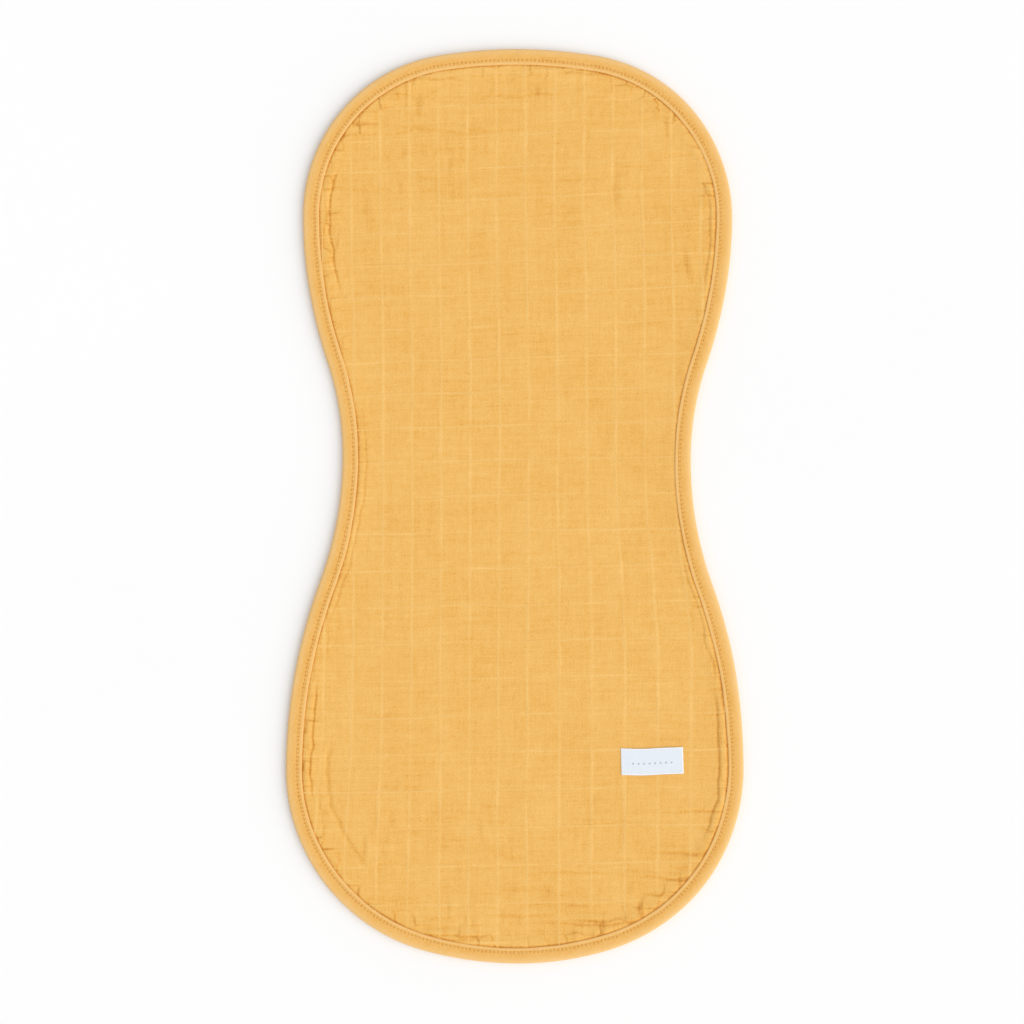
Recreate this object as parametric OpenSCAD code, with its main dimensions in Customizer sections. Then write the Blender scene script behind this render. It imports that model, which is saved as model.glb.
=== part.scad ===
// Muslin burp cloth: an hourglass of three double-gauze cloths, bound round its edge with bias tape.
// It lies flat on its back on the plane z = 0, with its face up, its length along Y and its wider
// lobe towards -Y. The origin is the middle of its length and width. All sizes are in millimetres.

/* [Outline] */
// Length from the top edge to the bottom edge
cloth_l = 500; // [440:5:560]
// Width across the narrower, upper lobe
upper_w = 234.5; // [215:0.5:245]
// Width across the wider, lower lobe
lower_w = 250.5; // [230:0.5:270]
// Width across the waist, which lies over the shoulder
waist_w = 190.5; // [150:0.5:205]
// How far the waist is above the middle of the length
waist_y = 25.5; // [0:0.5:50]
// Distance from the top edge to the line where the upper lobe is widest
upper_rise = 91; // [80:1:110]
// Distance from the bottom edge to the line where the lower lobe is widest
lower_rise = 106.5; // [95:0.5:125]
// Radius of the flat arc across the top edge
crown_r = 276; // [180:1:400]
// Radius of the flat arc across the bottom edge
base_r = 182; // [160:1:400]
// Share of each side curve's radius that belongs to the lobe, the rest belonging to the waist
lobe_share = 0.6; // [0.3:0.05:0.7]

/* [Cloths] */
// Thickness of one ply of gauze
ply_t = 0.4; // [0.3:0.05:0.6]
// Thickness of one tie yarn between the two plies of a cloth
tie_t = 0.1; // [0.05:0.05:0.2]
// Width of one tie yarn
tie_w = 0.8; // [0.4:0.1:1.5]
// Distance between two lengthwise tie yarns
warp_pitch = 15.9; // [10:0.1:30]
// How far the middle lengthwise tie yarn is off the middle of the cloth
warp_offset = 5.6; // [0:0.1:8]
// Distance between the two topmost crosswise tie yarns
weft_pitch = 16.8; // [10:0.1:30]
// How much wider each crosswise gap is than the one above it, where the weave slackens
weft_growth = 0.17; // [0:0.01:0.4]
// Distance from the top edge down to the first crosswise tie yarn
weft_start = 12.7; // [12:0.1:40]

/* [Binding] */
// Width of the tape that shows on each side of the edge
tape_w = 9; // [7:0.5:14]
// Thickness of the folded tape on each side of the cloths
tape_t = 0.7; // [0.5:0.05:1]
// Distance from the outer edge to the line of stitching through the tape
stitch_inset = 6.3; // [4:0.1:6.5]
// Thickness of the sewing thread
thread_d = 0.4; // [0.2:0.05:0.45]
// Distance from the outer edge of the binding to the edge of the plies inside it
ply_inset = 2.5; // [2.5:0.1:3.5]

/* [Label] */
// Length of the label between its two folded ends
label_l = 34; // [20:1:50]
// Width of the label tape
label_w = 14.5; // [10:0.5:20]
// Thickness of the label tape
label_t = 0.25; // [0.15:0.05:0.25]
// How much tape is turned under at each end
label_fold = 5; // [3:0.5:8]
// Distance from the label's edge to the stitching that holds it
label_stitch_inset = 0.9; // [0.6:0.1:1.5]
// Distance of the label's middle to the right of the cloth's middle line
label_x = 75; // [-70:0.1:80]
// Distance of the label's middle from the middle of the cloth's length
label_y = -138.8; // [-180:0.1:-100]
// Angle that the label was sewn on at
label_turn = 2; // [-5:0.5:5]

/* [Hidden] */
$fn = 180;

arc_step = 3; // degrees between two points of a flat piece's outline
stitch_groove_w = 0.7;
label_thread_w = 0.3;
label_thread_t = 0.15;
colour_ochre = [0.92, 0.70, 0.38];
colour_core = [0.95, 0.80, 0.56];
colour_tie = [0.97, 0.82, 0.56];
colour_binding = [0.94, 0.74, 0.45];
colour_thread = [0.88, 0.62, 0.27];
colour_label = [0.93, 0.95, 0.97];

// Heights, from the surface that the cloth lies on
cloth_t = 2 * ply_t + 2 * tie_t;
back_z = tape_t;
core_z = back_z + cloth_t;
face_z = core_z + cloth_t;
face_top = face_z + cloth_t;
total_t = face_top + tape_t;

// Half widths, and the heights along Y of the lines where the outline runs straight up
upper_half = upper_w / 2;
lower_half = lower_w / 2;
waist_half = waist_w / 2;
upper_y = cloth_l / 2 - upper_rise;
lower_y = lower_rise - cloth_l / 2;

// The corner radius of an end whose flat arc, of radius r, meets its corner arcs smoothly
function corner_radius(half, rise, r) = (2 * r * rise - half * half - rise * rise) / (2 * (r - half));
upper_corner = corner_radius(upper_half, upper_rise, crown_r);
lower_corner = corner_radius(lower_half, lower_rise, base_r);

// Half the angle that an end's flat arc turns through
function flat_angle(half, corner, r) = asin((half - corner) / (r - corner));
crown_angle = flat_angle(upper_half, upper_corner, crown_r);
base_angle = flat_angle(lower_half, lower_corner, base_r);

// Each side curve is two arcs that meet smoothly: their radii add up to this
function side_radius(half, rise) =
    let (step = half - waist_half)
    (step * step + rise * rise) / (2 * step);
// and both turn through this angle
function side_angle(half, rise) = 2 * atan2(half - waist_half, rise);
upper_side_r = side_radius(upper_half, upper_y - waist_y);
lower_side_r = side_radius(lower_half, waist_y - lower_y);
upper_side_angle = side_angle(upper_half, upper_y - waist_y);
lower_side_angle = side_angle(lower_half, waist_y - lower_y);

// The right half of the outline, clockwise from the top, as arcs:
// [centre x, centre y, radius, first angle, last angle].
// An angle is the direction that the edge faces, and a radius is negative where the edge is hollow.
function lobe_arc(half, y, side_r, from, to) =
    [half - lobe_share * side_r, y, lobe_share * side_r, from, to];
function waist_arc(side_r, from, to) =
    [waist_half + (1 - lobe_share) * side_r, waist_y, (lobe_share - 1) * side_r, from, to];
ARCS = [
    [0, cloth_l / 2 - crown_r, crown_r, 90, 90 - crown_angle],
    [upper_half - upper_corner, upper_y, upper_corner, 90 - crown_angle, 0],
    lobe_arc(upper_half, upper_y, upper_side_r, 0, -upper_side_angle),
    waist_arc(upper_side_r, -upper_side_angle, 0),
    waist_arc(lower_side_r, 0, lower_side_angle),
    lobe_arc(lower_half, lower_y, lower_side_r, lower_side_angle, 0),
    [lower_half - lower_corner, lower_y, lower_corner, 0, base_angle - 90],
    [0, base_r - cloth_l / 2, base_r, base_angle - 90, -90]
];

// The points of one arc, moved inwards, without its last point, where the next arc starts
function arc_points(arc, inset) =
    let (count = ceil(abs(arc[4] - arc[3]) / arc_step))
    [
        for (i = [0:count - 1])
        let (angle = arc[3] + (arc[4] - arc[3]) * i / count)
        [arc[0], arc[1]] + (arc[2] - inset) * [cos(angle), sin(angle)]
    ];

// The whole outline, moved inwards: the right half down, then the left half up
function outline(inset) =
    let (
        right = [for (arc = ARCS) each arc_points(arc, inset)],
        last = len(right) - 1
    )
    concat(
        right,
        [[0, inset - cloth_l / 2]],
        [for (i = [last:-1:1]) [-right[i][0], right[i][1]]]
    );

// Carries a flat profile round the edge: the profile's x is the distance in from the edge,
// and its y is the height
module round_edge() {
    for (side = [0, 1], arc = ARCS) {
        hollow = arc[2] < 0;
        mirror([side, 0, 0])
            translate([arc[0], arc[1], 0])
            rotate([0, 0, min(arc[3], arc[4]) + (hollow ? 180 : 0)])
            rotate_extrude(angle = abs(arc[4] - arc[3]))
            translate([abs(arc[2]), 0])
            mirror([hollow ? 0 : 1, 0])
            children();
    }
}

// One flat sheet of gauze with its lower side at height z
module ply(z) {
    translate([0, 0, z])
        linear_extrude(ply_t)
        polygon(outline(ply_inset));
}

// Keeps what lies inside the plies' outline, between height z and a tie yarn's thickness above it
module cut_to_cloth(z) {
    intersection() {
        translate([0, 0, z])
            linear_extrude(tie_t)
            polygon(outline(ply_inset));
        children();
    }
}

// The lengthwise tie yarns of one cloth, with their lower sides at height z
module tie_warp(z) {
    count = floor(lower_half / warp_pitch);
    cut_to_cloth(z)
        for (i = [-count:count])
            translate([warp_offset + i * warp_pitch - tie_w / 2, -cloth_l / 2, z])
                cube([tie_w, cloth_l, tie_t]);
}

// How far the crosswise tie yarn number i is below the top edge
function weft_drop(i) = weft_start + weft_pitch * i + weft_growth * i * (i + 1) / 2;

// The crosswise tie yarns of one cloth, with their lower sides at height z
module tie_weft(z) {
    count = floor(cloth_l / weft_pitch);
    cut_to_cloth(z)
        for (i = [0:count])
            if (weft_drop(i) < cloth_l - weft_start)
                translate([-lower_half, cloth_l / 2 - weft_drop(i) - tie_w / 2, z])
                    cube([lower_w, tie_w, tie_t]);
}

// The folded tape, cut across: two legs joined round the edge, each with a groove for its stitches
module binding_profile() {
    difference() {
        union() {
            translate([total_t / 2, total_t / 2])
                circle(d = total_t);
            translate([total_t / 2, 0])
                square([tape_w - total_t / 2 - tape_t / 2, total_t]);
            for (z = [tape_t / 2, total_t - tape_t / 2])
                translate([tape_w - tape_t / 2, z])
                    circle(d = tape_t);
        }
        translate([total_t / 2, total_t / 2])
            circle(d = total_t - 2 * tape_t);
        translate([total_t / 2, tape_t])
            square([tape_w, total_t - 2 * tape_t]);
        for (z = [0, total_t - thread_d])
            translate([stitch_inset - stitch_groove_w / 2, z])
                square([stitch_groove_w, thread_d]);
    }
}

// One line of sewing thread round the binding, with its lower side at height z
module binding_thread(z) {
    translate([0, 0, z])
        linear_extrude(thread_d)
        difference() {
            polygon(outline(stitch_inset - thread_d / 2));
            polygon(outline(stitch_inset + thread_d / 2));
        }
}

// Moves a piece to the label's place on the face, at height z
module at_label(z) {
    translate([label_x, label_y, z])
        rotate([0, 0, label_turn])
        children();
}

// The line of stitches round the label, as a flat frame
module label_stitches() {
    long = label_l - 2 * label_stitch_inset;
    short = label_w - 2 * label_stitch_inset;
    linear_extrude(label_thread_t)
        difference() {
            square([long + label_thread_w, short + label_thread_w], center = true);
            square([long - label_thread_w, short - label_thread_w], center = true);
        }
}

module face_outer_ply() {
    color(colour_ochre)
        ply(face_top - ply_t);
}

// Its underside has a shallow channel for the label's bobbin thread
module face_inner_ply() {
    color(colour_ochre)
        difference() {
            ply(face_z);
            at_label(face_z)
                label_stitches();
        }
}

module face_tie_warp() {
    color(colour_tie)
        tie_warp(face_z + ply_t + tie_t);
}

module face_tie_weft() {
    color(colour_tie)
        tie_weft(face_z + ply_t);
}

module core_upper_ply() {
    color(colour_core)
        ply(face_z - ply_t);
}

module core_lower_ply() {
    color(colour_core)
        ply(core_z);
}

module core_tie_warp() {
    color(colour_tie)
        tie_warp(core_z + ply_t + tie_t);
}

module core_tie_weft() {
    color(colour_tie)
        tie_weft(core_z + ply_t);
}

module back_inner_ply() {
    color(colour_ochre)
        ply(core_z - ply_t);
}

module back_outer_ply() {
    color(colour_ochre)
        ply(back_z);
}

module back_tie_warp() {
    color(colour_tie)
        tie_warp(back_z + ply_t);
}

module back_tie_weft() {
    color(colour_tie)
        tie_weft(back_z + ply_t + tie_t);
}

module edge_binding() {
    color(colour_binding)
        round_edge()
        binding_profile();
}

module binding_needle_thread() {
    color(colour_thread)
        binding_thread(total_t - thread_d);
}

module binding_bobbin_thread() {
    color(colour_thread)
        binding_thread(0);
}

// Woven tape with both ends turned under
module label() {
    color(colour_label)
        at_label(face_top)
        rotate([90, 0, 0])
        linear_extrude(label_w, center = true) {
            translate([label_t - label_l / 2, label_t])
                square([label_l - 2 * label_t, label_t]);
            for (side = [0, 1])
                mirror([side, 0])
                    translate([label_l / 2 - label_t, label_t])
                    label_fold_profile();
        }
}

// One folded end of the label, from the middle of its fold
module label_fold_profile() {
    circle(r = label_t);
    translate([label_t - label_fold, -label_t])
        square([label_fold - label_t, label_t]);
}

module label_needle_thread() {
    color(colour_label)
        at_label(face_top + 2 * label_t)
        label_stitches();
}

module label_bobbin_thread() {
    color(colour_label)
        at_label(face_z)
        label_stitches();
}

face_outer_ply();
face_inner_ply();
face_tie_warp();
face_tie_weft();
core_upper_ply();
core_lower_ply();
core_tie_warp();
core_tie_weft();
back_inner_ply();
back_outer_ply();
back_tie_warp();
back_tie_weft();
edge_binding();
binding_needle_thread();
binding_bobbin_thread();
label();
label_needle_thread();
label_bobbin_thread();
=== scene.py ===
"""Muslin burp cloth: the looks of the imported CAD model.

An hourglass-shaped burp cloth of cotton gauze, bound in bias tape and with a small sewn label, lies
flat on the floor, face up. Lengths are in millimetres and angles in radians unless a name says
otherwise, and meshes are scaled to metres as they are made. x runs across the cloth, y along it.
"""

import math
from functools import partial
from typing import NamedTuple

import bpy
import numpy as np
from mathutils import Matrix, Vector
from mathutils.geometry import delaunay_2d_cdt


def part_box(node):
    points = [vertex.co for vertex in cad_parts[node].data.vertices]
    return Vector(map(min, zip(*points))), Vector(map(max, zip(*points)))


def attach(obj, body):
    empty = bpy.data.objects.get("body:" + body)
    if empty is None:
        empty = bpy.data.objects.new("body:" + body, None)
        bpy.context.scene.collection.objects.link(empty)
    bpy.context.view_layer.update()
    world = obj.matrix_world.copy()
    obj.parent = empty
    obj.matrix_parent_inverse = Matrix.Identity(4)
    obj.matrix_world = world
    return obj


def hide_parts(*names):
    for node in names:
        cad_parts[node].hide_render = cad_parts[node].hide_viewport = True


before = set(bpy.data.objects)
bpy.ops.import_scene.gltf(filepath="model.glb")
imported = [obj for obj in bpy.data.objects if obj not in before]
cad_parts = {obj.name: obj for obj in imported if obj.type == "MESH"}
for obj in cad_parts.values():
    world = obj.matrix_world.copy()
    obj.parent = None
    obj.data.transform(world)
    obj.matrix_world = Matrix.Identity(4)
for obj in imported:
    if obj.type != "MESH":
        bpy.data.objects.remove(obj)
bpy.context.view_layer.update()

MM = 0.001

# The cut, the same driving sizes as in the CAD.
CLOTH_L = 500.0
UPPER_W = 234.5
LOWER_W = 250.5
WAIST_W = 190.5
WAIST_Y = 25.5
UPPER_RISE = 91.0
LOWER_RISE = 106.5
CROWN_R = 276.0
BASE_R = 182.0
LOBE_SHARE = 0.6

# The gauze and its tie yarns.
PLY_INSET = 2.5
PLY_T = 0.36
YARN_PITCH = 0.43
WARP_PITCH = 15.9
WARP_OFFSET = 5.6
WEFT_PITCH = 16.8
WEFT_GROWTH = 0.17
WEFT_START = 12.7

# The binding and its topstitching.
LIP_INSET = 8.75
STITCH_INSET = 6.3
STITCH_PITCH = 2.27
THREAD_R = 0.17
TAPE_YARN_PITCH = 0.36

# The label.
LABEL_L = 34.0
LABEL_W = 14.5
LABEL_T = 0.25
LABEL_FOLD = 5.0
LABEL_X = 75.0
LABEL_Y = -138.8
LABEL_TURN = math.radians(2)
LABEL_STITCH_INSET = 0.9
LABEL_STITCH_PITCH = 1.9


def top_of(node):
    """Height of a CAD node's top, in mm."""
    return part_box(node)[1].z / MM


def bottom_of(node):
    """Height of a CAD node's underside, in mm."""
    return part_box(node)[0].z / MM


# ---------------- numbers


def smoothstep(low, high, x):
    """0 at low and 1 at high, whichever of the two is larger."""
    t = np.clip((x - low) / (high - low), 0, 1)
    return t * t * (3 - 2 * t)


def bell(x, width):
    """1 at 0, and fading away on both sides over about that width."""
    return np.exp(-((x / width) ** 2))


def noise(x, y, seed, cells=(64, 64)):
    """Smooth noise from -1 to 1 with cells one unit wide, which repeats after that many cells."""
    lattice = np.random.default_rng(seed).uniform(-1, 1, cells)
    x0 = np.floor(x).astype(int)
    y0 = np.floor(y).astype(int)
    fx = smoothstep(0, 1, x - x0)
    fy = smoothstep(0, 1, y - y0)
    x0, y0 = x0 % cells[0], y0 % cells[1]
    x1, y1 = (x0 + 1) % cells[0], (y0 + 1) % cells[1]
    near = lattice[x0, y0] * (1 - fx) + lattice[x1, y0] * fx
    far = lattice[x0, y1] * (1 - fx) + lattice[x1, y1] * fx
    return near * (1 - fy) + far * fy


# ---------------- outline


class Arc(NamedTuple):
    """One arc of the outline's right half; the radius is negative where the outline is hollow."""

    cx: float
    cy: float
    radius: float
    start: float
    end: float

    def length(self):
        return abs(self.radius * (self.end - self.start))


def outline_arcs():
    """The right half of the outline, clockwise from the middle of the top edge."""
    upper, lower, waist = UPPER_W / 2, LOWER_W / 2, WAIST_W / 2
    upper_y = CLOTH_L / 2 - UPPER_RISE
    lower_y = LOWER_RISE - CLOTH_L / 2

    def corner(half, rise, end_r):
        return (2 * end_r * rise - half**2 - rise**2) / (2 * (end_r - half))

    def end_angle(half, corner_r, end_r):
        return math.asin((half - corner_r) / (end_r - corner_r))

    def side(half, run):
        """Sum of the two side arcs' radii, and the angle that each turns through."""
        dip = half - waist
        return (dip**2 + run**2) / (2 * dip), 2 * math.atan2(dip, run)

    upper_r = corner(upper, UPPER_RISE, CROWN_R)
    lower_r = corner(lower, LOWER_RISE, BASE_R)
    crown = end_angle(upper, upper_r, CROWN_R)
    base = end_angle(lower, lower_r, BASE_R)
    upper_side, upper_turn = side(upper, upper_y - WAIST_Y)
    lower_side, lower_turn = side(lower, WAIST_Y - lower_y)
    lobe, hollow = LOBE_SHARE, LOBE_SHARE - 1
    right = math.pi / 2
    return [
        Arc(0, CLOTH_L / 2 - CROWN_R, CROWN_R, right, right - crown),
        Arc(upper - upper_r, upper_y, upper_r, right - crown, 0),
        Arc(upper - lobe * upper_side, upper_y, lobe * upper_side, 0, -upper_turn),
        Arc(waist - hollow * upper_side, WAIST_Y, hollow * upper_side, -upper_turn, 0),
        Arc(waist - hollow * lower_side, WAIST_Y, hollow * lower_side, 0, lower_turn),
        Arc(lower - lobe * lower_side, lower_y, lobe * lower_side, lower_turn, 0),
        Arc(lower - lower_r, lower_y, lower_r, 0, base - right),
        Arc(0, BASE_R - CLOTH_L / 2, BASE_R, base - right, -right),
    ]


ARCS = outline_arcs()
ARC_STARTS = np.cumsum([0] + [arc.length() for arc in ARCS])
HALF_ROUND = ARC_STARTS[-1]
ROUND = 2 * HALF_ROUND


def edge_point(station, inset):
    """Point at a distance inwards from the outline; stations run clockwise from the top."""
    station = np.mod(station, ROUND)
    right = station <= HALF_ROUND
    along = np.where(right, station, ROUND - station)
    pick = np.clip(np.searchsorted(ARC_STARTS, along, side="right") - 1, 0, len(ARCS) - 1)
    table = np.array([[*arc, arc.length()] for arc in ARCS])[pick]
    cx, cy, radius, start, end, length = np.moveaxis(table, -1, 0)
    angle = start + (end - start) * (along - ARC_STARTS[pick]) / length
    x = cx + (radius - inset) * np.cos(angle)
    y = cy + (radius - inset) * np.sin(angle)
    return np.where(right, x, -x), y


def locate(x, y):
    """Distance inwards from the outline, and the station that it is measured from."""
    best = np.full(np.shape(x), np.inf)
    station = np.zeros(np.shape(x))
    for arc, begins in zip(ARCS, ARC_STARTS):
        sign = math.copysign(1, arc.radius)
        angle = np.arctan2(sign * (y - arc.cy), sign * (np.abs(x) - arc.cx))
        angle = np.clip(angle, min(arc.start, arc.end), max(arc.start, arc.end))
        dx = np.abs(x) - arc.cx - arc.radius * np.cos(angle)
        dy = y - arc.cy - arc.radius * np.sin(angle)
        gap = np.hypot(dx, dy)
        here = begins + arc.length() * (angle - arc.start) / (arc.end - arc.start)
        station = np.where(gap < best, here, station)
        best = np.minimum(gap, best)
    return best, np.where(x >= 0, station, ROUND - station)


def inside_outline(x, y):
    """Whether a point lies inside the outline, by the outline's half width at its y."""
    edge_x, edge_y = edge_point(np.linspace(0, HALF_ROUND, 4001), 0)
    return np.abs(x) < np.interp(y, edge_y[::-1], edge_x[::-1])


def round_noise(station, cells, seed):
    """Noise along the outline that meets itself where it has gone round."""
    return noise(station / ROUND * cells, 0 * station, seed, (cells, 2))


# ---------------- cloth surfaces

# Half the width of the slopes between the level patches that the puckers are made of.
PATCH_SLOPE = 0.95
# How a fold shows on the right edge and on the left: how much of it is raised, how far off its dark
# slope lies, and how much shade is painted on that slope. The light comes from the right, so the
# dark slope is the near one on the right edge and the far one on the left edge.
FOLD_LIGHT = {1: (1.0, 0.7, 1.0), -1: (0.3, 1.9, 2.1)}
# The most shade that is painted into a crease of the open cloth, where 1 is the darkest of all.
DEEPEST_CREASE_SHADE = 0.62
# How far the stack sinks inside the binding, and its underside, which reaches the floor.
SAG = 0.36
UNDERSIDE_SAG = SAG + 0.12


class Fold(NamedTuple):
    """A soft fold beside the binding, on the right (1) or left (-1) edge. Its crease lies that far
    into the cloth."""

    edge: int
    low_y: float
    high_y: float
    into: float
    height: float
    width: float


class Wrinkle(NamedTuple):
    """A small ridge and furrow, along the weft or along the warp."""

    along_warp: bool
    u: float
    v: float
    length: float
    height: float
    width: float


class Side(NamedTuple):
    """One outer face of the burp cloth. The yarns run askew by the given shares and distances."""

    seed: int
    gather: float
    weft_tilt: float
    upper_tilt: float
    weft_slack: float
    warp_drift: float
    warp_spread: float
    folds: tuple
    wrinkles: tuple


def scattered_wrinkles(seed, count, lobe_y, spread, along_warp):
    """Seeded small wrinkles in one lobe of the cloth."""
    rng = np.random.default_rng(seed)
    return tuple(
        Wrinkle(
            along_warp,
            u=rng.uniform(-1, 1) * spread[0],
            v=lobe_y + rng.uniform(-1, 1) * spread[1],
            length=rng.uniform(14, 44) * (0.6 if along_warp else 1),
            height=rng.uniform(0.10, 0.30),
            width=rng.uniform(1.1, 2.2),
        )
        for _ in range(count)
    )


FACE = Side(
    seed=11,
    gather=1.0,
    weft_tilt=0.026,
    upper_tilt=0.022,
    weft_slack=2.8,
    warp_drift=2.5,
    warp_spread=0.134,
    folds=(
        Fold(-1, 118, 182, 5.4, 0.46, 1.5),
        Fold(1, 122, 172, 3.0, 0.34, 1.3),
        Fold(-1, -158, -98, 3.8, 0.46, 1.4),
        Fold(-1, -196, -132, 12.5, 0.40, 2.4),
        Fold(1, -178, -104, 4.0, 0.58, 1.3),
        Fold(1, -92, -30, 3.0, 0.30, 1.3),
        Fold(-1, -60, 40, 3.0, 0.22, 1.4),
    ),
    wrinkles=(
        Wrinkle(False, -41, 209, 100, 0.34, 1.4),
        Wrinkle(False, 2, 226, 80, 0.30, 1.4),
        Wrinkle(True, 60, 170, 34, 0.26, 3.4),
        Wrinkle(True, 96, 126, 24, 0.34, 2.6),
        Wrinkle(False, 92, -166, 44, 0.36, 1.6),
        Wrinkle(False, 84, -189, 56, 0.44, 1.5),
        Wrinkle(False, 76, -203, 64, 0.42, 1.4),
        Wrinkle(False, 42, -227, 74, 0.44, 1.3),
        Wrinkle(False, 20, -216, 60, 0.30, 1.5),
        Wrinkle(False, -36, -233, 76, 0.36, 1.3),
        Wrinkle(False, -6, -208, 60, 0.32, 1.5),
        Wrinkle(True, 82, -208, 18, 0.40, 1.2),
        Wrinkle(True, 62, -222, 14, 0.40, 1.2),
        Wrinkle(True, 40, -236, 12, 0.36, 1.2),
    )
    + scattered_wrinkles(21, 48, -206, (98, 34), False)
    + scattered_wrinkles(22, 30, -204, (98, 36), True)
    + scattered_wrinkles(23, 20, 205, (90, 34), False)
    + scattered_wrinkles(24, 18, 196, (100, 40), True),
)

BACK = Side(
    seed=47,
    gather=0.8,
    weft_tilt=-0.015,
    upper_tilt=-0.01,
    weft_slack=1.5,
    warp_drift=-1.5,
    warp_spread=0.04,
    folds=(
        Fold(1, 104, 168, 4.6, 0.45, 1.5),
        Fold(-1, 60, 128, 3.4, 0.40, 1.4),
        Fold(-1, -190, -120, 4.2, 0.50, 1.5),
        Fold(1, -150, -84, 5.6, 0.40, 1.8),
    ),
    wrinkles=scattered_wrinkles(51, 30, -200, (95, 38), False)
    + scattered_wrinkles(52, 18, -196, (95, 40), True)
    + scattered_wrinkles(53, 22, 200, (90, 38), False)
    + scattered_wrinkles(54, 14, 190, (100, 40), True),
)


def weave_shift(side, u, v):
    """How far the yarns lie from their straight places, across and along the cloth."""
    drift = side.warp_drift * (smoothstep(190, 50, v) - 0.6)
    right_spread = side.warp_spread * smoothstep(20, -95, v) * np.maximum(u - 8, 0)
    left_spread = 0.6 * side.warp_spread * smoothstep(-105, -195, v) * np.minimum(u + 42, 0)
    across = drift + right_spread + left_spread + 0.45 * noise(u / 48, v / 34, side.seed + 1)
    tilt = side.weft_tilt + side.upper_tilt * smoothstep(0, 150, v)
    slack = side.weft_slack * bell(v - 40, 90)
    along = tilt * u + slack + 0.7 * noise(u / 30, v / 55, side.seed + 2)
    return across, along


def weave_place(side, x, y):
    """The yarn coordinates of a point, counted on the cloth as it was woven."""
    u, v = x, y
    for _ in range(4):
        across, along = weave_shift(side, u, v)
        u, v = x - across, y - along
    return u, v


def weft_row(v):
    """Number of the crosswise tie yarn at v from the top, with the fraction between two."""
    drop = np.maximum(CLOTH_L / 2 - v - WEFT_START, 0)
    half_step = WEFT_PITCH + WEFT_GROWTH / 2
    return (np.sqrt(half_step**2 + 2 * WEFT_GROWTH * drop) - half_step) / WEFT_GROWTH


def weft_v(row):
    """Where a crosswise tie yarn lies along the cloth."""
    return CLOTH_L / 2 - WEFT_START - WEFT_PITCH * row - WEFT_GROWTH * row * (row + 1) / 2


def plateau(x, slope):
    """Stays at each whole number, and moves on to the next within a narrow slope."""
    whole = np.floor(x)
    return whole + smoothstep(0.5 - slope, 0.5 + slope, x - whole)


def patches(u, v, cell_u, cell_v, seed):
    """Seeded level patches from -1 to 1, with narrow slopes between them along the yarns."""
    row = (v + 1.5 * noise(u / 5, v / 12, seed + 1)) / cell_v
    row = plateau(row, PATCH_SLOPE / cell_v)
    stagger = 0.5 * noise(row + 0.4, 0 * row, seed + 2)
    column = (u + 1.5 * noise(u / 12, v / 5, seed + 3)) / cell_u + stagger
    return noise(plateau(column, PATCH_SLOPE / cell_u), row, seed)


def steepness(field, u, v):
    """How steep a field over the cloth is at each point."""
    reach = 0.3
    slope_u = (field(u + reach, v) - field(u - reach, v)) / (2 * reach)
    slope_v = (field(u, v + reach) - field(u, v - reach)) / (2 * reach)
    return np.hypot(slope_u, slope_v)


def swell(side, u, v):
    """Broad soft unevenness of the whole stack, never below zero."""
    broad = 1 + noise(u / 52, v / 66, side.seed + 4)
    middle = 1 + noise(u / 17, v / 24, side.seed + 5)
    return 0.17 * broad + 0.07 * middle


def under_label(x, y):
    """1 where the label holds the cloth flat, fading to 0 round it."""
    reach = np.maximum(np.abs(x - LABEL_X) - LABEL_L / 2, np.abs(y - LABEL_Y) - LABEL_W / 2)
    return 1 - smoothstep(0, 5, reach)


def gathers(side, u, v, into, station):
    """Puckers beside the binding, with height and the shade painted on their slopes."""
    cells = (int(ROUND / 24), 4)
    along = station * cells[0] / ROUND
    patch = 0.5 + 0.5 * noise(along, along * 0 + 0.5, side.seed + 6, cells)
    reach = 4.5 + 6.0 * patch
    lobes = smoothstep(35, 130, np.abs(v - WAIST_Y))
    strength = side.gather * (0.25 + 0.75 * lobes) * (0.55 + 0.45 * patch)
    near = np.exp(-((np.maximum(into, 0) / reach) ** 3)) * strength

    def puckers(a, b):
        return patches(a, b, 9.0, 7.0, side.seed + 7)

    # Painted shade on the puckers' slopes: the steeper, the darker.
    crease = np.minimum(0.7 * steepness(puckers, u, v), 1)
    return near * (0.15 + 0.35 * puckers(u, v)), 0.68 * near * crease


def lip_furrow(side, into, station):
    """The furrow where the stack bulges out of the binding, with height and the shade painted into
    it.
    """
    depth = 0.75 + 0.25 * round_noise(station, 83, side.seed + 13)
    bulge = smoothstep(-0.4, 0.9, into) * (1 - smoothstep(1.5, 9.0, into))
    # Painted shade in the furrow: a dark line along the binding's lip.
    return 0.42 * depth * bulge, 0.86 * bell(into - 0.2, 0.62) * depth


def edge_folds(side, x, y, into, station):
    """Folds that run beside the binding, with height and the shade painted on their dark slopes."""
    height = np.zeros(np.shape(x))
    crease = np.zeros(np.shape(x))
    wander = noise(station / 13, 0 * station, side.seed + 8, (97, 2))
    wander = 0.9 * wander + 0.5 * noise(station / 5.5, 0 * station, side.seed + 9, (211, 2))
    for fold in side.folds:
        ends = smoothstep(fold.low_y - 6, fold.low_y + 8, y)
        ends = ends * (1 - smoothstep(fold.high_y - 8, fold.high_y + 6, y))
        ends = ends * (np.sign(x) == fold.edge)
        gap = into - fold.into - wander
        half = fold.width / 2
        lift, dark, deep = FOLD_LIGHT[fold.edge]
        lifted = 1 - smoothstep(-half, half, gap)
        height += ends * fold.height * (lift * lifted - 0.6 * bell(gap - 1.2 * half, half))
        # Painted shade on the fold's dark slope.
        crease += ends * deep * fold.height / fold.width * bell(gap - dark * half, 0.8 * half)
    return height, crease


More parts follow.
